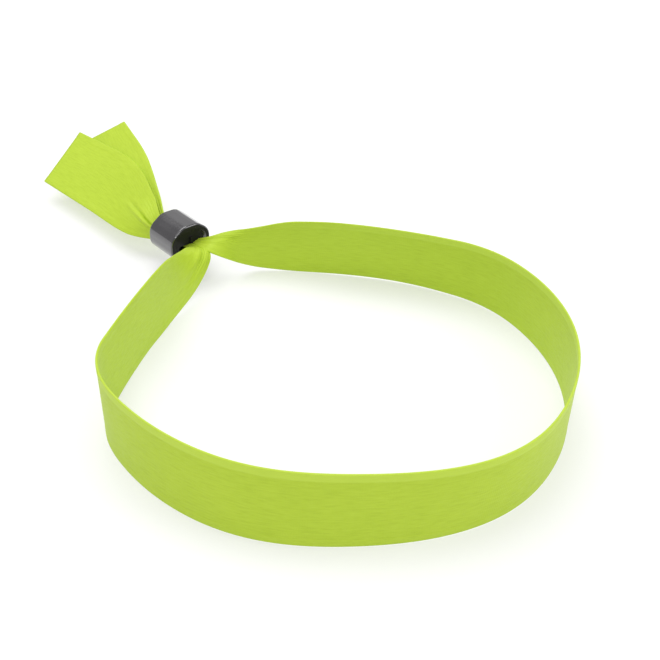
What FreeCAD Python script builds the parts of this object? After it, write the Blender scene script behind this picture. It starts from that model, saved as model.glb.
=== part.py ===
"""Slide-lock ribbon wristband.

One satin ribbon is bent into an upright loop.  Both of its ends are gathered side by side
through the slot of a small moulded bead and leave it as two overlapping tails.

Frame: millimetres, +Z up along the wrist, origin on the resting plane under the bead's slide
axis and beside the middle of the loop, +X from the bead towards the far side of the loop.
"""
import FreeCAD
import Part
import Sketcher
import math
import os

from FreeCAD import Placement, Rotation, Vector

DOC = FreeCAD.newDocument("slide_lock_wristband")

# Driving dimensions: name, value (mm or degrees), meaning
DIMENSIONS = [
    ("ribbon_width", 15.0, "woven width of the ribbon"),
    ("ribbon_gauge", 0.35, "thickness of the ribbon"),
    ("loop_radius", 42.2, "radius of the round part of the loop"),
    ("loop_offset", -3.5, "Y of the loop's centre from the bead's slide axis"),
    ("left_shoulder_radius", 20.0, "bend where the round part runs into the left leg"),
    ("right_shoulder_radius", 26.0, "bend where the round part runs into the right leg"),
    ("left_leg_x", -36.3, "X where the left leg starts to gather"),
    ("left_leg_y", -14.6, "Y where the left leg starts to gather"),
    ("left_leg_bearing", 124.0, "direction of the left leg towards the bead"),
    ("right_leg_x", -31.2, "X where the right leg starts to gather"),
    ("right_leg_y", 20.6, "Y where the right leg starts to gather"),
    ("right_leg_bearing", -144.0, "direction of the right leg towards the bead"),
    ("bead_front_x", -49.3, "X of the bead's mouth, on the loop side"),
    ("bead_length", 8.2, "length of the bead along its slide axis"),
    ("bead_width", 9.7, "width of the bead"),
    ("bead_height", 8.4, "height of the bead"),
    ("bead_axis_z", 7.05, "height of the bead's slide axis"),
    ("bead_top_width", 3.6, "width of the flat along the top and the bottom"),
    ("bead_side_height", 4.0, "height of the flat along each side"),
    ("ridge_radius", 3.0, "rounding of the bead's long ridges"),
    ("rim_radius", 0.4, "rounding of the bead's end rims"),
    ("mouth_width", 7.8, "width of the dished mouth at the face"),
    ("mouth_height", 6.0, "height of the dished mouth at the face"),
    ("mouth_depth", 0.5, "depth of the dished mouth"),
    ("mouth_taper", 40.0, "slope of the dished mouth's wall"),
    ("slot_drop", 1.35, "how far the slot's middle lies below the slide axis"),
    ("slot_width", 5.4, "width of the slot"),
    ("slot_height", 2.2, "height of the slot"),
    ("slot_corner", 0.6, "corner radius of the slot"),
    ("tooth_height", 0.4, "height of a one-way tooth"),
    ("tooth_pitch", 1.5, "spacing of the teeth along the slot"),
    ("tooth_width", 4.2, "length of a tooth across the slot"),
    ("rib_width", 0.6, "width of the short upright rib over the slot"),
    ("rib_height", 1.6, "height of that rib"),
    ("rib_depth", 0.35, "how far that rib stands off the dish"),
    ("rib_offset", 0.3, "Y of that rib"),
    ("bundle_width", 2.3, "width of one gathered ribbon end in the slot"),
    ("bundle_height", 1.0, "height of one gathered ribbon end in the slot"),
    ("bundle_gap", 0.1, "gap between the two gathered ends"),
    ("tail_over_x", -97.2, "X of the cut end of the over tail"),
    ("tail_over_y", -1.6, "Y of the middle of that cut end"),
    ("tail_over_z", 8.6, "height of the middle of that cut end"),
    ("tail_over_tilt", 40.0, "tilt of that cut end from level"),
    ("tail_under_x", -97.0, "X of the cut end of the under tail"),
    ("tail_under_y", 7.7, "Y of the middle of that cut end"),
    ("tail_under_z", 11.2, "height of the middle of that cut end"),
    ("tail_under_tilt", 18.0, "tilt of that cut end from level"),
    ("tail_under_yaw", 24.0, "turn of that cut end about the vertical"),
    ("exit_length", 0.6, "straight run of a gathered end beyond the bead's rear face"),
]

TEETH_PER_SIDE = 4
TOOTH_ROOT = 0.3       # depth of each tooth's root inside the slot's wall, mm


def make_sheet():
    sheet = DOC.addObject("Spreadsheet::Sheet", "Spreadsheet")
    for row, (alias, value, meaning) in enumerate(DIMENSIONS, start=1):
        sheet.set(f"A{row}", meaning)
        sheet.set(f"B{row}", str(value))
        sheet.setAlias(f"B{row}", alias)
    DOC.recompute()
    return sheet


SHEET = make_sheet()


def dim(alias):
    return float(SHEET.get(alias))


def bind(obj, prop, expression):
    """Bind a property to the sheet; $name in the expression stands for a cell."""
    obj.setExpression(prop, expression.replace("$", "Spreadsheet."))


# ---------------------------------------------------------------- loop band
def shoulder(leg_end, bearing, radius, side):
    """Arc of the given radius that touches the loop's circle from inside and the leg's line.

    side is +1 for the leg at +Y and -1 for the leg at -Y.  Returns the arc's centre, its
    touching point on the circle and its touching point on the leg.
    """
    centre = Vector(0, dim("loop_offset"), 0)
    along = Vector(math.cos(math.radians(bearing)), math.sin(math.radians(bearing)), 0)
    inward = Vector(-along.y, along.x, 0) * side
    on_line = leg_end + inward * radius
    offset = on_line - centre
    half = offset.dot(along)
    reach = dim("loop_radius") - radius
    back = half - math.sqrt(half ** 2 - offset.dot(offset) + reach ** 2)
    arc_centre = on_line - along * (2 * half - back)
    on_circle = centre + (arc_centre - centre).normalize() * dim("loop_radius")
    on_leg = arc_centre - inward * radius
    return arc_centre, on_circle, on_leg


def arc_between(centre, start, end):
    """Anticlockwise arc about the centre."""
    radius = (start - centre).Length
    circle = Part.Circle(centre, Vector(0, 0, 1), radius)
    angles = [math.atan2(p.y - centre.y, p.x - centre.x) for p in (start, end)]
    return Part.ArcOfCircle(circle, angles[0], angles[1])


def leg_bearing(path, edge):
    run = path.Geometry[edge].EndPoint - path.Geometry[edge].StartPoint
    return round(math.degrees(math.atan2(run.y, run.x)), 2)


def make_band():
    """Upright band: the round of the loop, two shoulders and two straight legs."""
    left_end = Vector(dim("left_leg_x"), dim("left_leg_y"), 0)
    right_end = Vector(dim("right_leg_x"), dim("right_leg_y"), 0)
    centre = Vector(0, dim("loop_offset"), 0)
    left = shoulder(left_end, dim("left_leg_bearing"), dim("left_shoulder_radius"), -1)
    right = shoulder(right_end, dim("right_leg_bearing"), dim("right_shoulder_radius"), 1)
    path = DOC.addObject("Sketcher::SketchObject", "band_path")
    path.addGeometry([
        Part.LineSegment(left_end, left[2]),
        arc_between(left[0], left[2], left[1]),
        arc_between(centre, left[1], right[1]),
        arc_between(right[0], right[1], right[2]),
        Part.LineSegment(right[2], right_end),
    ], False)
    start, end, middle = 1, 2, 3
    for first in range(4):
        path.addConstraint(Sketcher.Constraint("Tangent", first, end, first + 1, start))
    origin = -1
    places = [
        ("left_leg_x", "DistanceX", 0, start), ("left_leg_y", "DistanceY", 0, start),
        ("right_leg_x", "DistanceX", 4, end), ("right_leg_y", "DistanceY", 4, end),
        ("loop_offset", "DistanceY", 2, middle),
    ]
    for name, kind, edge, point in places:
        number = path.addConstraint(Sketcher.Constraint(kind, origin, 1, edge, point, dim(name)))
        path.renameConstraint(number, name)
        bind(path, f"Constraints.{name}", f"${name}")
    path.addConstraint(Sketcher.Constraint("PointOnObject", 2, middle, -2))
    radii = [("left_shoulder_radius", 1), ("loop_radius", 2), ("right_shoulder_radius", 3)]
    for name, edge in radii:
        number = path.addConstraint(Sketcher.Constraint("Radius", edge, dim(name)))
        path.renameConstraint(number, name)
        bind(path, f"Constraints.{name}", f"${name}")
    DOC.recompute()
    print("band path:", path.solve(), "left leg bearing", leg_bearing(path, 0),
          "right leg bearing", leg_bearing(path, 4))
    strip = DOC.addObject("Part::Offset2D", "band_strip")
    strip.Source = path
    strip.Mode = "Skin"
    strip.Fill = True
    bind(strip, "Value", "$ribbon_gauge")
    band = DOC.addObject("Part::Extrusion", "ribbon_band")
    band.Base = strip
    band.Dir = Vector(0, 0, 1)
    band.Solid = True
    bind(band, "LengthFwd", "$ribbon_width")
    band.Label = "ribbon_band"
    return band


# ---------------------------------------------------------------- soft strips
def strip_section(name, centre, width_axis, travel, width, thickness):
    """Rectangle across a strip that runs along travel; its sizes are expressions on the sheet."""
    sketch = DOC.addObject("Sketcher::SketchObject", name)
    corners = [Vector(-1, -1, 0), Vector(1, -1, 0), Vector(1, 1, 0), Vector(-1, 1, 0)]
    for number, corner in enumerate(corners):
        sketch.addGeometry(Part.LineSegment(corner, corners[(number + 1) % 4]), False)
    for number in range(4):
        sketch.addConstraint(Sketcher.Constraint("Coincident", number, 2, (number + 1) % 4, 1))
    sketch.addConstraint(Sketcher.Constraint("Horizontal", 0))
    sketch.addConstraint(Sketcher.Constraint("Horizontal", 2))
    sketch.addConstraint(Sketcher.Constraint("Vertical", 1))
    sketch.addConstraint(Sketcher.Constraint("Symmetric", 0, 1, 2, 1, -1, 1))
    for label, kind, edge, expression in (
        ("width", "DistanceX", 0, width), ("thickness", "DistanceY", 1, thickness)
    ):
        number = sketch.addConstraint(Sketcher.Constraint(kind, edge, 1, edge, 2, 2.0))
        sketch.renameConstraint(number, label)
        bind(sketch, f"Constraints.{label}", expression)
    across = Vector(*width_axis).normalize()
    through = Vector(*travel).cross(across).normalize()
    turn = Rotation(across, through, across.cross(through), "XYZ")
    sketch.Placement = Placement(Vector(*centre), turn)
    return sketch


def strip(label, sections):
    """Solid through a row of strip sections: one run of soft ribbon."""
    sketches = []
    for number, section in enumerate(sections):
        sketches.append(strip_section(f"{label}_section_{number}", *section))
    DOC.recompute()
    loft = DOC.addObject("Part::Loft", label)
    loft.Sections = sketches
    loft.Solid = True
    loft.Ruled = True
    loft.Label = label
    return loft


UP = (0, 0, 1)
REARWARD = (-1, 0, 0)
FULL = ("$ribbon_width", "$ribbon_gauge")
BUNDLE = ("$bundle_width", "$bundle_height")


def heading(bearing):
    """Level direction at a bearing."""
    angle = math.radians(bearing)
    return (math.cos(angle), math.sin(angle), 0)


def tilted(tilt, yaw=0.0):
    """Width axis of a tail: +Y lifted by tilt, then turned by -yaw about the vertical."""
    level = math.cos(math.radians(tilt))
    turn = math.radians(yaw)
    return (math.sin(turn) * level, math.cos(turn) * level, math.sin(math.radians(tilt)))


def leg_end(side_name, outward_turn):
    """Middle of the end face of a leg's band, and the leg's heading."""
    bearing = dim(f"{side_name}_leg_bearing")
    corner = Vector(dim(f"{side_name}_leg_x"), dim(f"{side_name}_leg_y"), dim("ribbon_width") / 2)
    outward = Vector(*heading(bearing + outward_turn))
    return tuple(corner + outward * dim("ribbon_gauge") / 2), heading(bearing)


def make_gathers():
    """Runs where each leg closes up, turns over and enters the bead's mouth."""
    mouth_x = dim("bead_front_x") - dim("mouth_depth") / 2
    side_y = (dim("bundle_width") + dim("bundle_gap")) / 2
    slot_z = dim("bead_axis_z") - dim("slot_drop")
    left_end, left_heading = leg_end("left", 90)
    right_end, right_heading = leg_end("right", -90)
    left = [
        (left_end, UP, left_heading, *FULL),
        ((-39.9, -9.6, 6.6), (-0.1, -0.35, 1), heading(126), "$ribbon_width * 0.82", "0.5"),
        ((-44.0, -4.4, 6.4), (-0.3, -0.6, 0.6), heading(138), "$ribbon_width * 0.52", "0.8"),
        ((dim("bead_front_x") + 1, -side_y * 1.2, slot_z + 0.6), (0, -1, 0.3), REARWARD,
         "$ribbon_width * 0.18", "$bundle_height"),
        ((mouth_x, -side_y, slot_z), (0, -1, 0), REARWARD, *BUNDLE),
    ]
    right = [
        (right_end, UP, right_heading, *FULL),
        ((-37.2, 15.6, 6.7), (0, -0.2, 1), heading(-138), "$ribbon_width * 0.85", "0.5"),
        ((-43.6, 7.6, 6.4), (-0.2, 0.1, 1), heading(-134), "$ribbon_width * 0.5", "0.8"),
        ((dim("bead_front_x") + 1, side_y * 1.2, slot_z + 0.6), (0, 1, 0.3), REARWARD,
         "$ribbon_width * 0.18", "$bundle_height"),
        ((mouth_x, side_y, slot_z), (0, 1, 0), REARWARD, *BUNDLE),
    ]
    strip("gather_left", left)
    strip("gather_right", right)


def make_throats():
    """Gathered ends side by side in the slot, from the mouth to just past the rear face."""
    for label, side in (("throat_left", -1), ("throat_right", 1)):
        box = DOC.addObject("Part::Box", label)
        bind(box, "Length", "$bead_length - $mouth_depth / 2 + $exit_length")
        bind(box, "Width", "$bundle_width")
        bind(box, "Height", "$bundle_height")
        bind(box, ".Placement.Base.x", "$bead_front_x - $bead_length - $exit_length")
        bind(box, ".Placement.Base.y",
             f"{side} * ($bundle_width + $bundle_gap) / 2 - $bundle_width / 2")
        bind(box, ".Placement.Base.z", "$bead_axis_z - $slot_drop - $bundle_height / 2")
        box.Label = label


def make_tails():
    """Two free ends: each spreads from its gathered end to a straight heat-cut edge."""
    exit_x = dim("bead_front_x") - dim("bead_length") - dim("exit_length")
    side_y = (dim("bundle_width") + dim("bundle_gap")) / 2
    slot_z = dim("bead_axis_z") - dim("slot_drop")
    over_end = (dim("tail_over_x"), dim("tail_over_y"), dim("tail_over_z"))
    under_end = (dim("tail_under_x"), dim("tail_under_y"), dim("tail_under_z"))
    strip("tail_over", [
        ((exit_x, -side_y, slot_z), (0, 1, 0), REARWARD, *BUNDLE),
        ((exit_x - 3, -side_y - 0.4, slot_z + 0.9), tilted(30), REARWARD, "$bundle_width", "0.8"),
        ((-66.0, -1.7, 7.4), tilted(36), REARWARD, "$ribbon_width * 0.63", "0.5"),
        ((-80.0, -1.5, 8.0), tilted(40), REARWARD, "$ribbon_width * 0.97", "$ribbon_gauge"),
        (over_end, tilted(dim("tail_over_tilt")), REARWARD, *FULL),
    ])
    strip("tail_under", [
        ((exit_x, side_y, slot_z), (0, 1, 0), REARWARD, *BUNDLE),
        ((exit_x - 3, side_y + 0.2, slot_z + 0.2), tilted(30), REARWARD, "$bundle_width", "0.8"),
        ((-65.5, 1.8, 7.2), tilted(36, 8), REARWARD, "$ribbon_width * 0.47", "0.5"),
        ((-78.0, 4.4, 9.3), tilted(28, 16), REARWARD, "$ribbon_width * 0.83", "$ribbon_gauge"),
        (under_end, tilted(dim("tail_under_tilt"), dim("tail_under_yaw")), REARWARD, *FULL),
    ])


# ---------------------------------------------------------------- lock bead
def body_plane(body, role):
    for feature in body.Origin.OriginFeatures:
        if feature.Role == role:
            return feature
    raise ValueError(role)


def sketch_on(body, name, role, offset_expression="", lift_expression=""):
    """Sketch on one of the body's planes, moved along the plane's normal and lifted."""
    sketch = body.newObject("Sketcher::SketchObject", name)
    sketch.AttachmentSupport = [(body_plane(body, role), "")]
    sketch.MapMode = "FlatFace"
    if offset_expression:
        bind(sketch, ".AttachmentOffset.Base.z", offset_expression)
    if lift_expression:
        bind(sketch, ".AttachmentOffset.Base.y", lift_expression)
    return sketch


def add_loop(sketch, points):
    """Closed chain of lines through the points; returns the first line's number."""
    first = sketch.GeometryCount
    count = len(points)
    for number, point in enumerate(points):
        following = points[(number + 1) % count]
        sketch.addGeometry(Part.LineSegment(Vector(*point, 0), Vector(*following, 0)), False)
    for number in range(count):
        sketch.addConstraint(Sketcher.Constraint(
            "Coincident", first + number, 2, first + (number + 1) % count, 1))
    return first


def measure(sketch, label, kind, first_point, second_point, expression, value):
    number = sketch.addConstraint(
        Sketcher.Constraint(kind, *first_point, *second_point, value))
    sketch.renameConstraint(number, label)
    bind(sketch, f"Constraints.{label}", expression)


def rounded_slot(sketch, width, height, corner):
    """Rectangle with rounded corners about the origin; corner may make the ends full round."""
    half_w = width / 2
    half_h = height / 2
    inner_w = half_w - corner
    inner_h = half_h - corner
    quarter = math.pi / 2
    up = Vector(0, 0, 1)
    centres = [(inner_w, inner_h), (-inner_w, inner_h), (-inner_w, -inner_h), (inner_w, -inner_h)]
    sides = [
        ((inner_w, half_h), (-inner_w, half_h)), ((-half_w, inner_h), (-half_w, -inner_h)),
        ((-inner_w, -half_h), (inner_w, -half_h)), ((half_w, -inner_h), (half_w, inner_h)),
    ]
    for number in range(4):
        circle = Part.Circle(Vector(*centres[number], 0), up, corner)
        sketch.addGeometry(
            Part.ArcOfCircle(circle, number * quarter, (number + 1) * quarter), False)
        ends = [Vector(*point, 0) for point in sides[number]]
        sketch.addGeometry(Part.LineSegment(*ends), False)
    for number in range(0, 8, 2):
        sketch.addConstraint(Sketcher.Constraint("Tangent", number, 2, number + 1, 1))
        sketch.addConstraint(Sketcher.Constraint("Tangent", number + 1, 2, (number + 2) % 8, 1))
    sketch.addConstraint(Sketcher.Constraint("Horizontal", 1))
    sketch.addConstraint(Sketcher.Constraint("Vertical", 3))
    sketch.addConstraint(Sketcher.Constraint("Symmetric", 1, 1, 5, 1, -1, 1))
    for number in (2, 4, 6):
        sketch.addConstraint(Sketcher.Constraint("Equal", 0, number))


def make_bead():
    """Barrel with eight flats, a dished mouth on the loop side, a slot and one-way teeth."""
    body = DOC.addObject("PartDesign::Body", "lock_bead")
    body.Label = "lock_bead"
    rear = "$bead_front_x - $bead_length"

    top = dim("bead_top_width") / 2
    wide = dim("bead_width") / 2
    high = dim("bead_height") / 2
    side = dim("bead_side_height") / 2
    outline = sketch_on(body, "barrel_outline", "YZ_Plane", rear)
    add_loop(outline, [
        (-top, high), (top, high), (wide, side), (wide, -side),
        (top, -high), (-top, -high), (-wide, -side), (-wide, side),
    ])
    for first, second in (((0, 1), (0, 2)), ((2, 1), (7, 1)), ((3, 1), (6, 1)), ((4, 1), (5, 1))):
        outline.addConstraint(Sketcher.Constraint("Symmetric", *first, *second, -2))
    outline.addConstraint(Sketcher.Constraint("Symmetric", 0, 1, 5, 1, -1))
    outline.addConstraint(Sketcher.Constraint("Symmetric", 2, 1, 3, 1, -1))
    measure(outline, "top_width", "DistanceX", (0, 1), (0, 2), "$bead_top_width", 2 * top)
    measure(outline, "width", "DistanceX", (7, 1), (2, 1), "$bead_width", 2 * wide)
    measure(outline, "height", "DistanceY", (5, 1), (0, 1), "$bead_height", 2 * high)
    measure(outline, "side_height", "DistanceY", (3, 1), (2, 1), "$bead_side_height", 2 * side)
    DOC.recompute()

    barrel = body.newObject("PartDesign::Pad", "barrel")
    barrel.Profile = outline
    bind(barrel, "Length", "$bead_length")
    DOC.recompute()

    ridges = [
        f"Edge{number}" for number, edge in enumerate(barrel.Shape.Edges, start=1)
        if abs(edge.tangentAt(edge.FirstParameter).x) > 0.99
    ]
    ridge = body.newObject("PartDesign::Fillet", "ridge_rounding")
    ridge.Base = (barrel, ridges)
    bind(ridge, "Radius", "$ridge_radius")
    DOC.recompute()

    rims = [
        f"Edge{number}" for number, edge in enumerate(ridge.Shape.Edges, start=1)
        if edge.BoundBox.XLength < 1e-6
    ]
    rim = body.newObject("PartDesign::Fillet", "rim_rounding")
    rim.Base = (ridge, rims)
    bind(rim, "Radius", "$rim_radius")
    DOC.recompute()

    mouth_outline = sketch_on(body, "mouth_outline", "YZ_Plane", "$bead_front_x")
    rounded_slot(mouth_outline, dim("mouth_width"), dim("mouth_height"),
                 dim("mouth_height") * 0.46)
    measure(mouth_outline, "width", "DistanceX", (3, 1), (7, 1), "$mouth_width", dim("mouth_width"))
    measure(mouth_outline, "height", "DistanceY", (5, 1), (1, 2), "$mouth_height",
            dim("mouth_height"))
    number = mouth_outline.addConstraint(
        Sketcher.Constraint("Radius", 0, dim("mouth_height") * 0.46))
    mouth_outline.renameConstraint(number, "corner")
    bind(mouth_outline, "Constraints.corner", "$mouth_height * 0.46")
    mouth = body.newObject("PartDesign::Pocket", "mouth")
    mouth.Profile = mouth_outline
    mouth.Reversed = False
    bind(mouth, "Length", "$mouth_depth")
    mouth.TaperAngle = -dim("mouth_taper")
    bind(mouth, "TaperAngle", "-$mouth_taper")
    DOC.recompute()

    slot_outline = sketch_on(body, "slot_outline", "YZ_Plane", "$bead_front_x", "-$slot_drop")
    rounded_slot(slot_outline, dim("slot_width"), dim("slot_height"), dim("slot_corner"))
    measure(slot_outline, "width", "DistanceX", (3, 1), (7, 1), "$slot_width", dim("slot_width"))
    measure(slot_outline, "height", "DistanceY", (5, 1), (1, 2), "$slot_height",
            dim("slot_height"))
    number = slot_outline.addConstraint(Sketcher.Constraint("Radius", 0, dim("slot_corner")))
    slot_outline.renameConstraint(number, "corner")
    bind(slot_outline, "Constraints.corner", "$slot_corner")
    slot = body.newObject("PartDesign::Pocket", "slot")
    slot.Profile = slot_outline
    bind(slot, "Length", "$bead_length + 1")
    DOC.recompute()

    tooth_outline = sketch_on(body, "tooth_outline", "XZ_Plane", "", "-$slot_drop")
    half_slot = dim("slot_height") / 2
    pitch = dim("tooth_pitch")
    first_x = dim("bead_front_x") - dim("mouth_depth") - 0.3
    for tooth in range(TEETH_PER_SIDE):
        ramp_x = first_x - tooth * pitch
        for side_sign in (1, -1):
            root_z = side_sign * half_slot
            tip_z = side_sign * (half_slot - dim("tooth_height"))
            deep_z = side_sign * (half_slot + TOOTH_ROOT)
            add_loop(tooth_outline, [
                (ramp_x, deep_z), (ramp_x, root_z), (ramp_x - pitch * 0.85, tip_z),
                (ramp_x - pitch, tip_z), (ramp_x - pitch, deep_z),
            ])
    teeth = body.newObject("PartDesign::Pad", "teeth")
    teeth.Profile = tooth_outline
    teeth.Midplane = True
    bind(teeth, "Length", "$tooth_width")
    DOC.recompute()

    rib_outline = sketch_on(body, "rib_outline", "YZ_Plane", "$bead_front_x - $mouth_depth",
                            "$slot_height / 2 - $slot_drop")
    left = dim("rib_offset") - dim("rib_width") / 2
    right = left + dim("rib_width")
    add_loop(rib_outline, [(left, 0), (right, 0), (right, dim("rib_height")),
                           (left, dim("rib_height"))])
    for number, kind in enumerate(("Horizontal", "Vertical", "Horizontal", "Vertical")):
        rib_outline.addConstraint(Sketcher.Constraint(kind, number))
    rib_outline.addConstraint(Sketcher.Constraint("PointOnObject", 0, 1, -1))
    measure(rib_outline, "left", "DistanceX", (-1, 1), (0, 1),
            "$rib_offset - $rib_width / 2", left)
    measure(rib_outline, "width", "DistanceX", (0, 1), (0, 2), "$rib_width", dim("rib_width"))
    measure(rib_outline, "height", "DistanceY", (1, 1), (1, 2), "$rib_height",
            dim("rib_height"))
    rib = body.newObject("PartDesign::Pad", "slot_rib")
    rib.Profile = rib_outline
    bind(rib, "Length", "$rib_depth")
    DOC.recompute()
    body.Tip = rib
    bind(body, ".Placement.Base.z", "$bead_axis_z")
    DOC.recompute()
    return [feature.Shape.Volume for feature in (barrel, ridge, rim, mouth, slot, teeth, rib)]


make_band()
make_gathers()
make_throats()
make_tails()
volumes = make_bead()
print("bead volume after each feature:", [round(volume, 1) for volume in volumes])
DOC.recompute()

NODES = [
    "ribbon_band", "gather_left", "gather_right", "throat_left", "throat_right",
    "tail_over", "tail_under", "lock_bead",
]

for obj in DOC.Objects:
    if "Invalid" in obj.State or "Error" in obj.State:
        raise RuntimeError(f"{obj.Name} failed: {obj.State}")

os.makedirs("parts", exist_ok=True)
for node in NODES:
    shape = DOC.getObjectsByLabel(node)[0].Shape
    if shape.isNull() or not shape.isValid() or not shape.Solids:
        raise RuntimeError(f"{node} has no valid solid")
    shape.exportStep(f"parts/{node}.step")
    box = shape.BoundBox
    print(f"{node:14s} {shape.Volume:8.1f} mm3  "
          f"x {box.XMin:7.1f} {box.XMax:7.1f}  y {box.YMin:6.1f} {box.YMax:6.1f}  "
          f"z {box.ZMin:5.1f} {box.ZMax:5.1f}")
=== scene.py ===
"""Festival wristband: one satin ribbon closed into a loop by a black slide bead.

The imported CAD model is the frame. The bead is the CAD node with a plastic finish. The
ribbon is modelled here as three lengths of the same strip: the loop, and the two tails
behind the bead. The ribbon's sizes and places are millimetres in the CAD's frame: X runs
from the tails through the bead to the loop, Z is up, and the floor is near Z = 0.
"""

import math

import bpy
import numpy as np
from mathutils import Matrix, Vector


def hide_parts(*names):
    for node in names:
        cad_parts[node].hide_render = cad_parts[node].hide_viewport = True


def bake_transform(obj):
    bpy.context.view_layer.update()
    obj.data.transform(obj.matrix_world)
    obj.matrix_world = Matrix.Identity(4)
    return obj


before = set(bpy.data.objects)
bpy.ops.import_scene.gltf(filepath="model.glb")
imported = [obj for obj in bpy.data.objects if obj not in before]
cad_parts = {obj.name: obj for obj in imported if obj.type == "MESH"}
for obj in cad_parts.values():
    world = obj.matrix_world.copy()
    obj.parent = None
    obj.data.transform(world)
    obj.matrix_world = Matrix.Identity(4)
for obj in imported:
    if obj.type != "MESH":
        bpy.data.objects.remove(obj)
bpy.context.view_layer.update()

MM = 0.001

# ---------------------------------------------------------------- ribbon

RIBBON_WIDTH = 15.0
RIBBON_GAUGE = 0.32
SELVEDGE_WIDTH = 1.5       # the firmer band woven along each edge
SELVEDGE_EXTRA = 0.10      # how much thicker it is than the ribbon
SELVEDGE_BLEND = (-0.15, 0.05)    # where that band starts and stops thinning out
EDGE_ROUNDING = 0.14       # width of the rounding along each edge
EDGE_FLATNESS = 0.12       # square of the thickness share left at the very edge
ACROSS = 84                # mesh cells across the ribbon
LOOP_CELL = 0.6            # mesh cell along the loop
TAIL_CELL = 0.5            # mesh cell along a tail
RIB_PITCH = 0.42           # spacing of the crosswise rib of the weave
THREAD_PITCH = 0.26        # spacing of the lengthwise threads


def spline(knots, values, at):
    """A smooth curve through values at the knots, read at the places in at."""
    knots = np.asarray(knots, float)
    values = np.asarray(values, float)
    step = np.diff(knots)
    shape = (-1,) + (1,) * (values.ndim - 1)
    slope = np.diff(values, axis=0) / step.reshape(shape)
    before = step[:-1].reshape(shape)
    after = step[1:].reshape(shape)
    tangent = np.empty_like(values)
    tangent[1:-1] = (slope[:-1] * after + slope[1:] * before) / (before + after)
    tangent[0] = slope[0]
    tangent[-1] = slope[-1]
    cell = np.clip(np.searchsorted(knots, at, side="right") - 1, 0, len(step) - 1)
    gap = step[cell].reshape(shape)
    t = (np.asarray(at, float) - knots[cell]).reshape(shape) / gap
    low, high = values[cell], values[cell + 1]
    return (
        low * (1 + 2 * t) * (1 - t) ** 2
        + tangent[cell] * gap * t * (1 - t) ** 2
        + high * (3 - 2 * t) * t**2
        - tangent[cell + 1] * gap * t**2 * (1 - t)
    )


def chord_lengths(points):
    """Distance along a run of points, starting from 0."""
    steps = np.linalg.norm(np.diff(points, axis=0), axis=-1)
    return np.concatenate([[0.0], np.cumsum(steps)])


SECTION_KNOTS = 9


def section(*points):
    """One cross-section, bottom selvedge first, as evenly spaced points across."""
    points = np.array(points, float)
    length = chord_lengths(points)
    at = np.linspace(0, length[-1], SECTION_KNOTS)
    if len(points) == 2:
        return points[0] + (points[1] - points[0]) * (at / length[-1])[:, None]
    return spline(length, points, at)


def smoothstep(edge_low, edge_high, value):
    """Rises softly from 0 to 1 between the two edges."""
    t = np.clip((value - edge_low) / (edge_high - edge_low), 0, 1)
    return t * t * (3 - 2 * t)


def surface(sections, spacing):
    """The ribbon's middle surface as rows of points, with how far along each row is."""
    sections = np.array(sections)
    along = chord_lengths(sections[:, SECTION_KNOTS // 2])
    rows = int(round(along[-1] / spacing))
    at = np.linspace(0, along[-1], rows + 1)
    lengthwise = spline(along, sections, at)
    across = np.linspace(0, 1, ACROSS + 1)
    knots = np.linspace(0, 1, SECTION_KNOTS)
    grid = spline(knots, np.swapaxes(lengthwise, 0, 1), across)
    return np.swapaxes(grid, 0, 1), at, across


def normals(grid):
    """Unit normals of a grid of points, on the side that faces out of the loop."""
    lengthwise = np.gradient(grid, axis=0)
    widthwise = np.gradient(grid, axis=1)
    normal = np.cross(lengthwise, widthwise)
    return normal / np.linalg.norm(normal, axis=-1, keepdims=True)


def add_pleats(grid, at, across, pleats):
    """Gathers the ribbon: each pleat group is a set of parallel waves that fade out."""
    out = normals(grid)
    lift = np.zeros(grid.shape[:2])
    for group in pleats:
        fade_along = np.interp(at, group["stations"], group["height"])
        centre, half = group["band"]
        fade_across = np.exp(-(((across - centre) / half) ** 2))
        wave = np.sin(2 * math.pi * (across * group["waves"] + group["phase"]))
        lift += fade_along[:, None] * (fade_across * wave)[None]
    return grid + out * lift[..., None]


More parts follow.
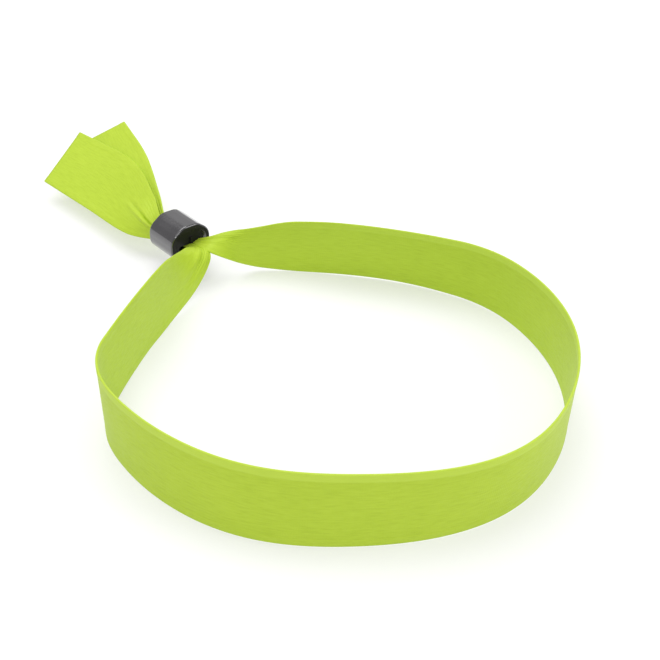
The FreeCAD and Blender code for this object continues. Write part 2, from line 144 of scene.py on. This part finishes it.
def strip_mesh(name, sections, spacing, pleats=(), edge_light=((0, 0), (1, 1))):
    """A closed thin strip of ribbon with its own place coordinates.

    They are millimetres across, millimetres along, and how strongly the painted highlight
    lightens the selvedges at that place, from none (0) to full (1).
    """
    grid, at, across = surface(sections, spacing)
    grid = add_pleats(grid, at, across, pleats)
    edge = np.minimum(across, 1 - across) * RIBBON_WIDTH
    thins_from, thins_to = SELVEDGE_BLEND
    band = 1 - smoothstep(SELVEDGE_WIDTH + thins_from, SELVEDGE_WIDTH + thins_to, edge)
    inside = 1 - np.clip(edge / EDGE_ROUNDING, 0, 1)
    rounding = np.sqrt(np.clip(1 - inside**2, EDGE_FLATNESS, 1))
    half = (RIBBON_GAUGE + SELVEDGE_EXTRA * band) / 2 * rounding
    out = normals(grid) * half[None, :, None]
    rows, columns = grid.shape[:2]
    points = np.concatenate([(grid + out).reshape(-1, 3), (grid - out).reshape(-1, 3)])
    points = points * MM
    front = np.arange(rows * columns).reshape(rows, columns)
    back = front + rows * columns

    faces = []
    for a, b, c, d in (
        (front[:-1, :-1], front[1:, :-1], front[1:, 1:], front[:-1, 1:]),
        (back[:-1, :-1], back[:-1, 1:], back[1:, 1:], back[1:, :-1]),
    ):
        faces.append(np.stack([a, b, c, d], axis=-1).reshape(-1, 4))
    for near, far in (
        (front[:, 0], back[:, 0]),
        (back[:, -1], front[:, -1]),
        (back[0], front[0]),
        (front[-1], back[-1]),
    ):
        faces.append(np.stack([near[:-1], far[:-1], far[1:], near[1:]], axis=-1))
    faces = np.concatenate(faces)

    mesh = bpy.data.meshes.new(name)
    mesh.from_pydata(points.tolist(), [], faces.tolist())
    mesh.update()
    mesh.shade_smooth()
    # The third place coordinate only weights the painted highlight on the selvedges; it does not bend
    # the mesh.
    place = np.stack(
        np.broadcast_arrays(
            across[None, :] * RIBBON_WIDTH,
            at[:, None],
            np.interp(at, *edge_light)[:, None],
        ),
        axis=-1,
    ).reshape(-1, 3)
    layer = mesh.attributes.new("strip", "FLOAT_VECTOR", "POINT")
    layer.data.foreach_set("vector", np.concatenate([place, place]).astype(np.float32).ravel())
    made = bpy.data.objects.new(name, mesh)
    bpy.context.scene.collection.objects.link(made)
    return made


# The band's plan is the CAD band's: two straight legs, a shoulder at each, and the round.
LOOP_CENTRE = np.array([0.0, -3.5])
LOOP_RADIUS = 42.2
LEFT_LEG_END = np.array([-36.3, -14.6])
LEFT_LEG_BEARING = 124.0
LEFT_SHOULDER_RADIUS = 20.0
RIGHT_LEG_END = np.array([-31.2, 20.6])
RIGHT_LEG_BEARING = -144.0
RIGHT_SHOULDER_RADIUS = 26.0
PLAN_STEP = 4.0            # distance between two cross-sections of the band

# Soft departures from that plan: bearing of the middle and half width, in degrees, and
# how far out the top selvedge leans, or the whole band lies, there.
LEANS = [(-2.0, 28.0, 1.3), (130.0, 48.0, -4.4), (-108.0, 22.0, 0.9)]
SWELLS = [(-37.0, 22.0, -1.5), (3.0, 18.0, 0.7), (-112.0, 20.0, 0.8)]


def bearing_of(way):
    """Degrees anticlockwise from +X, seen from above."""
    return math.degrees(math.atan2(way[1], way[0]))


def shoulder(leg_end, bearing, radius, side):
    """Arc that touches the leg and, from inside, the round: its centre and both touches."""
    along = np.array([math.cos(math.radians(bearing)), math.sin(math.radians(bearing))])
    inward = np.array([-along[1], along[0]]) * side
    offset = leg_end + inward * radius - LOOP_CENTRE
    half = offset @ along
    reach = LOOP_RADIUS - radius
    back = half + math.sqrt(half**2 - offset @ offset + reach**2)
    centre = LOOP_CENTRE + offset - along * back
    toward = (centre - LOOP_CENTRE) / np.linalg.norm(centre - LOOP_CENTRE)
    return centre, LOOP_CENTRE + toward * LOOP_RADIUS, centre - inward * radius


def arc_plan(centre, start, end):
    """Places along an anticlockwise arc, without its end, and the outward way at each."""
    radius = np.linalg.norm(start - centre)
    first = math.radians(bearing_of(start - centre))
    sweep = (math.radians(bearing_of(end - centre)) - first) % (2 * math.pi)
    count = max(2, int(round(radius * sweep / PLAN_STEP)))
    plan = []
    for number in range(count):
        turn = first + sweep * number / count
        out = np.array([math.cos(turn), math.sin(turn)])
        plan.append((centre + out * radius, out))
    return plan


def departure(place, terms):
    """The sum of the soft departures at a place on the plan."""
    total = 0.0
    for middle, half_width, amount in terms:
        apart = (bearing_of(place - LOOP_CENTRE) - middle + 180) % 360 - 180
        total += amount * math.exp(-((apart / half_width) ** 2))
    return total


def upright_section(place, out):
    """The ribbon on edge, leaning about its own mid height."""
    lean = departure(place, LEANS)
    place = place + out * departure(place, SWELLS)
    rise = math.sqrt(RIBBON_WIDTH**2 - lean**2)
    bottom = np.array([*(place - out * lean / 2), 0.0])
    top = np.array([*(place + out * lean / 2), rise])
    return section(bottom, top)


def band_sections():
    """The upright band: left shoulder, round, right shoulder. Each leg is what lies beyond."""
    left = shoulder(LEFT_LEG_END, LEFT_LEG_BEARING, LEFT_SHOULDER_RADIUS, -1)
    right = shoulder(RIGHT_LEG_END, RIGHT_LEG_BEARING, RIGHT_SHOULDER_RADIUS, 1)
    plan = arc_plan(left[0], left[2], left[1])
    plan += arc_plan(LOOP_CENTRE, left[1], right[1])
    plan += arc_plan(right[0], right[1], right[2])
    return [upright_section(place, out) for place, out in plan]


# Runs beside the bead. Each selvedge goes through a few places: in the bead, at its
# mouth or rear face, where the gather opens, and where it is flat again or cut.
RUN_STATIONS = 12
BELLY_SPREAD = 0.22        # half width of the belly, as a share of the run


def gathered_run(lower, upper, belly=(0, 0, 0), belly_at=0.5):
    """Sections between two selvedge curves; the middle swells by belly around belly_at."""
    shares = np.linspace(0, 1, RUN_STATIONS)
    edges = []
    for places in (lower, upper):
        places = np.array(places, float)
        edges.append(spline(np.linspace(0, 1, len(places)), places, shares))
    runs = []
    for share, bottom, top in zip(shares, *edges):
        swell = math.exp(-(((share - belly_at) / BELLY_SPREAD) ** 2)) * math.sin(math.pi * share)
        middle = (bottom + top) / 2 + np.array(belly) * swell
        runs.append(section(bottom, middle, top))
    return runs


LEFT_NECK = gathered_run(
    lower=[(-54, -0.1, 5.7), (-49, 0.4, 6.8), (-43.5, 0.8, 6.8), (-41.5, -4, 2), (-36.5, -14.5, 0)],
    upper=[
        (-54, -2, 5.8), (-49.3, -0.8, 6.4), (-45, -4.8, 9.4), (-40.5, -10, 12.2), (-35.8, -15.2, 15),
    ],
)
RIGHT_NECK = gathered_run(
    lower=[
        (-31.5, 23, 0), (-38, 16.5, 0), (-43, 9.5, 1.5),
        (-43.5, 1, 7), (-49, 0.7, 6.7), (-54, 0.2, 5.7),
    ],
    upper=[
        (-30, 18.7, 14.4), (-36, 15, 13), (-41, 10.8, 11),
        (-45.5, 6.5, 9.3), (-49, 3, 7.4), (-54, 2, 5.8),
    ],
    belly=(-0.6, -1.2, 0.3),
    belly_at=0.4,
)
TAIL_OVER = gathered_run(
    lower=[(-54, -2.3, 5.7), (-59, -3, 4.6), (-66, -5.6, 4), (-80, -6.2, 4), (-96.6, -7, 4)],
    upper=[(-54, -0.1, 5.8), (-59.5, 0, 7.5), (-66, 2.2, 10.8), (-80, 6.3, 12.1), (-100, 5.2, 11.7)],
    belly=(0, -1.4, 1.0),
    belly_at=0.3,
)
TAIL_UNDER = gathered_run(
    lower=[(-54, 0.1, 5.7), (-59, -1.5, 4.6), (-67, -4, 4.8), (-81, -2.8, 5.9), (-99.4, 2.5, 8.5)],
    upper=[(-54, 2.3, 5.8), (-59.5, 1.2, 7.3), (-66.5, 4.2, 9.9), (-78.5, 9, 13.4), (-92.5, 12.7, 15.1)],
)

# Pleats: how many waves there would be over the full width, where across the ribbon
# they lie (centre and half width as shares of it), and their height along the ribbon.
LEFT_PLEATS = [
    dict(waves=3.6, phase=0.10, band=(0.25, 0.30),
         stations=[0, 5, 9, 13, 17, 22], height=[0.10, 0.12, 0.22, 0.22, 0.10, 0.0]),
    dict(waves=17.0, phase=0.0, band=(0.22, 0.22),
         stations=[0, 5, 8, 13, 17, 21], height=[0.05, 0.06, 0.09, 0.08, 0.04, 0.0]),
]
RIGHT_PLEATS = [
    dict(waves=3.0, phase=0.35, band=(0.70, 0.35),
         stations=[0, 5, 8, 11, 14, 17], height=[0.12, 0.12, 0.15, 0.10, 0.03, 0.0]),
    dict(waves=15.0, phase=0.2, band=(0.72, 0.25),
         stations=[0, 5, 8, 12, 15, 18], height=[0.06, 0.08, 0.10, 0.07, 0.02, 0.0]),
]
OVER_PLEATS = [
    dict(waves=14.0, phase=0.2, band=(0.80, 0.20),
         stations=[0, 4, 8, 12, 17], height=[0.05, 0.06, 0.05, 0.02, 0.0]),
    dict(waves=4.5, phase=0.75, band=(0.50, 0.07),
         stations=[0, 4, 7, 12, 19], height=[0.0, 0.45, 0.75, 0.45, 0.0]),
]
UNDER_PLEATS = [
    dict(waves=11.0, phase=0.2, band=(0.85, 0.22),
         stations=[0, 4, 8, 13, 20], height=[0.05, 0.07, 0.07, 0.03, 0.0]),
]


def from_far_end(pleats, length):
    """The same pleats measured from the strip's other end."""
    return [
        dict(group,
             stations=[length - place for place in reversed(group["stations"])],
             height=list(reversed(group["height"])))
        for group in pleats
    ]


loop_sections = LEFT_NECK + band_sections() + RIGHT_NECK
loop_length = chord_lengths(np.array(loop_sections)[:, SECTION_KNOTS // 2])[-1]
loop_pleats = LEFT_PLEATS + from_far_end(RIGHT_PLEATS, loop_length)

# How far along each strip the painted highlight on its selvedges reaches, and how strong it is.
loop_edge_light = (
    (45.0, 75.0, loop_length - 60.0, loop_length - 35.0),
    (0.15, 1.0, 1.0, 0.15),
)
tail_edge_light = ((0.0, 40.0), (0.05, 0.05))

loop = strip_mesh("ribbon_loop", loop_sections, LOOP_CELL, loop_pleats, loop_edge_light)
tail_over = strip_mesh("ribbon_tail_over", TAIL_OVER, TAIL_CELL, OVER_PLEATS, tail_edge_light)
tail_under = strip_mesh("ribbon_tail_under", TAIL_UNDER, TAIL_CELL, UNDER_PLEATS, tail_edge_light)

# ---------------------------------------------------------------- materials


def new_material(name):
    """A node material, its tree and its shader."""
    made = bpy.data.materials.new(name)
    made.use_nodes = True
    tree = made.node_tree
    return made, tree, tree.nodes["Principled BSDF"]


def node(tree, kind, **settings):
    """A new node of a kind, with its settings."""
    made = tree.nodes.new(kind)
    for name, value in settings.items():
        setattr(made, name, value)
    return made


def noise(tree, place, stretch, scale, detail=3.0, roughness=0.55):
    """Noise read at a place that has been stretched differently on each axis."""
    mapping = node(tree, "ShaderNodeMapping")
    mapping.inputs["Scale"].default_value = stretch
    made = node(tree, "ShaderNodeTexNoise")
    made.inputs["Scale"].default_value = scale
    made.inputs["Detail"].default_value = detail
    made.inputs["Roughness"].default_value = roughness
    tree.links.new(place, mapping.inputs["Vector"])
    tree.links.new(mapping.outputs["Vector"], made.inputs["Vector"])
    return made.outputs["Fac"]


def ramp(tree, factor, stops):
    """A colour ramp: each stop is a place and a linear colour."""
    made = node(tree, "ShaderNodeValToRGB")
    marks = made.color_ramp.elements
    while len(marks) < len(stops):
        marks.new(0.5)
    for mark, (place, colour) in zip(marks, stops):
        mark.position = place
        mark.color = (*colour, 1)
    tree.links.new(factor, made.inputs["Fac"])
    return made.outputs["Color"]


def span(tree, value, low, high, to_low, to_high):
    """Value mapped smoothly from one span to another and held at both ends."""
    made = node(tree, "ShaderNodeMapRange", interpolation_type="SMOOTHSTEP")
    for name, number in (
        ("From Min", low), ("From Max", high), ("To Min", to_low), ("To Max", to_high)
    ):
        made.inputs[name].default_value = number
    tree.links.new(value, made.inputs["Value"])
    return made.outputs["Result"]


def combine(tree, operation, first, second):
    """A sum, product or other operation on two numbers, each a value or a socket."""
    made = node(tree, "ShaderNodeMath", operation=operation)
    for socket, value in zip(made.inputs, (first, second)):
        if isinstance(value, (int, float)):
            socket.default_value = value
        else:
            tree.links.new(value, socket)
    return made.outputs["Value"]


def mix(tree, factor, first, second, blend="MIX"):
    """Two colours mixed by a factor; each of the three is a value or a socket."""
    made = node(tree, "ShaderNodeMix", data_type="RGBA", blend_type=blend)
    if isinstance(factor, float):
        made.inputs["Factor"].default_value = factor
    else:
        tree.links.new(factor, made.inputs["Factor"])
    sockets = [held for held in made.inputs if held.type == "RGBA"]
    for socket, value in zip(sockets, (first, second)):
        if isinstance(value, tuple):
            socket.default_value = (*value, 1)
        else:
            tree.links.new(value, socket)
    return [held for held in made.outputs if held.type == "RGBA"][0]


def ribbon_material():
    """Lime satin: fine lengthwise yarns, a faint crosswise rib, and a painted highlight on the
    selvedges.
    """
    made, tree, shader = new_material("satin_ribbon")
    strip = node(tree, "ShaderNodeAttribute", attribute_name="strip")
    place = strip.outputs["Vector"]
    split = node(tree, "ShaderNodeSeparateXYZ")
    tree.links.new(place, split.inputs["Vector"])
    across, along, edge_light = split.outputs["X"], split.outputs["Y"], split.outputs["Z"]

    streaks = noise(tree, place, (3.2, 0.30, 0.0), 1.0, detail=3.0, roughness=0.7)
    clouds = noise(tree, place, (0.12, 0.06, 0.0), 1.0, detail=2.0)
    yarns = noise(tree, place, (8.0, 0.90, 0.0), 1.0, detail=2.0)

    dye = ramp(tree, streaks, [
        (0.34, (0.428, 0.580, 0.030)),
        (0.48, (0.462, 0.622, 0.035)),
        (0.66, (0.488, 0.648, 0.042)),
    ])
    cloudy = ramp(tree, clouds, [(0.30, (0.96, 0.97, 0.93)), (0.70, (1.0, 1.0, 1.0))])
    body = mix(tree, 1.0, dye, cloudy, blend="MULTIPLY")

    # Painted highlight: a lighter lime laid along both selvedges, strongest on the top one, weighted by
    # the strip's third place coordinate.
    upper = span(
        tree, across, RIBBON_WIDTH - SELVEDGE_WIDTH - 0.3, RIBBON_WIDTH - SELVEDGE_WIDTH + 0.2,
        0.0, 0.60,
    )
    lower = span(tree, across, SELVEDGE_WIDTH - 0.1, SELVEDGE_WIDTH + 0.1, 0.10, 0.0)
    edge_lit_colour = mix(
        tree, combine(tree, "MULTIPLY", combine(tree, "ADD", upper, lower), edge_light),
        body, (0.545, 0.720, 0.075),
    )
    tree.links.new(edge_lit_colour, shader.inputs["Base Color"])

    gloss = span(tree, yarns, 0.35, 0.65, 0.44, 0.60)
    tree.links.new(gloss, shader.inputs["Roughness"])
    shader.inputs["Specular IOR Level"].default_value = 0.28
    shader.inputs["Sheen Weight"].default_value = 0.05
    shader.inputs["Sheen Roughness"].default_value = 0.4
    shader.inputs["Sheen Tint"].default_value = (0.85, 1.0, 0.45, 1)

    rib = node(tree, "ShaderNodeMath", operation="SINE")
    tree.links.new(combine(tree, "MULTIPLY", along, 2 * math.pi / RIB_PITCH), rib.inputs[0])
    threads = node(tree, "ShaderNodeMath", operation="SINE")
    tree.links.new(combine(tree, "MULTIPLY", across, 2 * math.pi / THREAD_PITCH), threads.inputs[0])
    cloth = combine(
        tree, "ADD",
        combine(tree, "MULTIPLY", rib.outputs["Value"], 0.18),
        combine(tree, "MULTIPLY", threads.outputs["Value"], 0.16),
    )
    relief = combine(tree, "ADD", cloth, combine(tree, "MULTIPLY", yarns, 1.2))
    relief = combine(tree, "ADD", relief, combine(tree, "MULTIPLY", streaks, 0.8))
    bump = node(tree, "ShaderNodeBump")
    bump.inputs["Strength"].default_value = 0.35
    bump.inputs["Distance"].default_value = 0.00006
    tree.links.new(relief, bump.inputs["Height"])
    tree.links.new(bump.outputs["Normal"], shader.inputs["Normal"])
    return made


def bead_material():
    """Black moulded plastic: polished outside, duller on the two end faces."""
    made, tree, shader = new_material("bead_plastic")
    coordinates = node(tree, "ShaderNodeTexCoord")
    place = coordinates.outputs["Object"]
    split = node(tree, "ShaderNodeSeparateXYZ")
    tree.links.new(coordinates.outputs["Normal"], split.inputs["Vector"])
    facing = node(tree, "ShaderNodeMath", operation="ABSOLUTE")
    tree.links.new(split.outputs["X"], facing.inputs[0])
    end_face = span(tree, facing.outputs["Value"], 0.86, 0.98, 0.0, 1.0)

    grain = noise(tree, place, (1.0, 1.0, 1.0), 900.0, detail=3.0)
    marks = noise(tree, place, (1.0, 1.0, 1.0), 160.0, detail=2.0)
    black = ramp(tree, marks, [(0.3, (0.008, 0.006, 0.010)), (0.7, (0.014, 0.011, 0.016))])
    tree.links.new(mix(tree, end_face, black, (0.012, 0.012, 0.013)), shader.inputs["Base Color"])
    polished = span(tree, marks, 0.3, 0.7, 0.16, 0.24)
    rough = combine(tree, "MULTIPLY_ADD", end_face, 0.30)
    tree.links.new(polished, rough.node.inputs[2])
    tree.links.new(rough, shader.inputs["Roughness"])
    tree.links.new(span(tree, end_face, 0.0, 1.0, 1.0, 0.04), shader.inputs["Coat Weight"])
    shader.inputs["Coat IOR"].default_value = 1.8
    shader.inputs["Coat Roughness"].default_value = 0.12
    tree.links.new(
        span(tree, end_face, 0.0, 1.0, 0.5, 0.15), shader.inputs["Specular IOR Level"]
    )
    bump = node(tree, "ShaderNodeBump")
    bump.inputs["Strength"].default_value = 0.25
    bump.inputs["Distance"].default_value = 0.00004
    tree.links.new(grain, bump.inputs["Height"])
    tree.links.new(bump.outputs["Normal"], shader.inputs["Normal"])
    return made


satin = ribbon_material()
for piece in (loop, tail_over, tail_under):
    piece.data.materials.append(satin)

plastic = bead_material()
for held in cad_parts["lock_bead"].material_slots:
    held.material = plastic

# ---------------------------------------------------------------- bodies

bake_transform(loop)
for tail in (tail_over, tail_under):
    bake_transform(tail)

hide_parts("ribbon_band", "gather_left", "gather_right", "throat_left", "throat_right")
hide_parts("tail_over")
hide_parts("tail_under")

# ---------------------------------------------------------------- stage

REACH = 2.0                # half the side of the floor
FLOOR = -0.00025           # a little below Z = 0

floor_mesh = bpy.data.meshes.new("studio_floor")
floor_mesh.from_pydata(
    [(-REACH, -REACH, FLOOR), (REACH, -REACH, FLOOR), (REACH, REACH, FLOOR), (-REACH, REACH, FLOOR)],
    [],
    [(0, 1, 2, 3)],
)
floor = bpy.data.objects.new("studio_floor", floor_mesh)
bpy.context.scene.collection.objects.link(floor)
floor_paint, floor_tree, floor_shader = new_material("white_sweep")
floor_shader.inputs["Base Color"].default_value = (0.54, 0.54, 0.55, 1)
floor_shader.inputs["Roughness"].default_value = 0.9
floor_shader.inputs["Specular IOR Level"].default_value = 0.0
floor_shader.inputs["Emission Color"].default_value = (1, 0.99, 1, 1)
floor_shader.inputs["Emission Strength"].default_value = 0.44
floor_mesh.materials.append(floor_paint)

world = bpy.data.worlds.new("soft_tent")
bpy.context.scene.world = world
world.use_nodes = True
world.node_tree.nodes["Background"].inputs["Color"].default_value = (1, 1, 1, 1)
world.node_tree.nodes["Background"].inputs["Strength"].default_value = 0.56


def area_light(name, place, target, size, power):
    """A square softbox at a place, turned to face the target."""
    data = bpy.data.lights.new(name, "AREA")
    data.shape = "SQUARE"
    data.size = size
    data.energy = power
    lamp = bpy.data.objects.new(name, data)
    lamp.location = place
    aim = Vector(target) - Vector(place)
    lamp.rotation_euler = aim.to_track_quat("-Z", "Y").to_euler()
    bpy.context.scene.collection.objects.link(lamp)


area_light("overhead_softbox", (-0.30, 0.0, 0.75), (0, 0, 0), 0.7, 4.0)
area_light("front_softbox", (0.50, -0.55, 0.75), (0, 0, 0), 0.3, 2.0)
area_light("side_softbox", (0.60, 0.60, 0.65), (0, 0, 0), 0.6, 2.8)
area_light("back_softbox", (-0.60, 0.51, 0.52), (-0.05, 0, 0), 0.5, 0.15)

# ---------------------------------------------------------------- camera

HEADING = math.radians(46.9)    # how far the view is turned from the frame's +Y axis
PITCH = math.radians(34.0)
ROLL = math.radians(3.0)
CAMERA_PLACE = (0.12806, -0.12537, 0.1324)
LENS = 65.45                    # focal length in millimetres on a 36 mm wide sensor

camera_data = bpy.data.cameras.new("camera")
camera_data.sensor_width = 36.0
camera_data.lens = LENS
camera_data.clip_start = 0.005
camera = bpy.data.objects.new("camera", camera_data)
forward = Vector((
    -math.sin(HEADING) * math.cos(PITCH),
    math.cos(HEADING) * math.cos(PITCH),
    -math.sin(PITCH),
))
right = forward.cross(Vector((0, 0, 1))).normalized()
up = right.cross(forward)
turn = Matrix((right, up, -forward)).transposed().to_4x4()
camera.matrix_world = (
    Matrix.Translation(CAMERA_PLACE) @ turn @ Matrix.Rotation(ROLL, 4, "Z")
)
bpy.context.scene.collection.objects.link(camera)
bpy.context.scene.camera = camera
bpy.context.scene.view_settings.view_transform = "Standard"

bpy.context.view_layer.update()
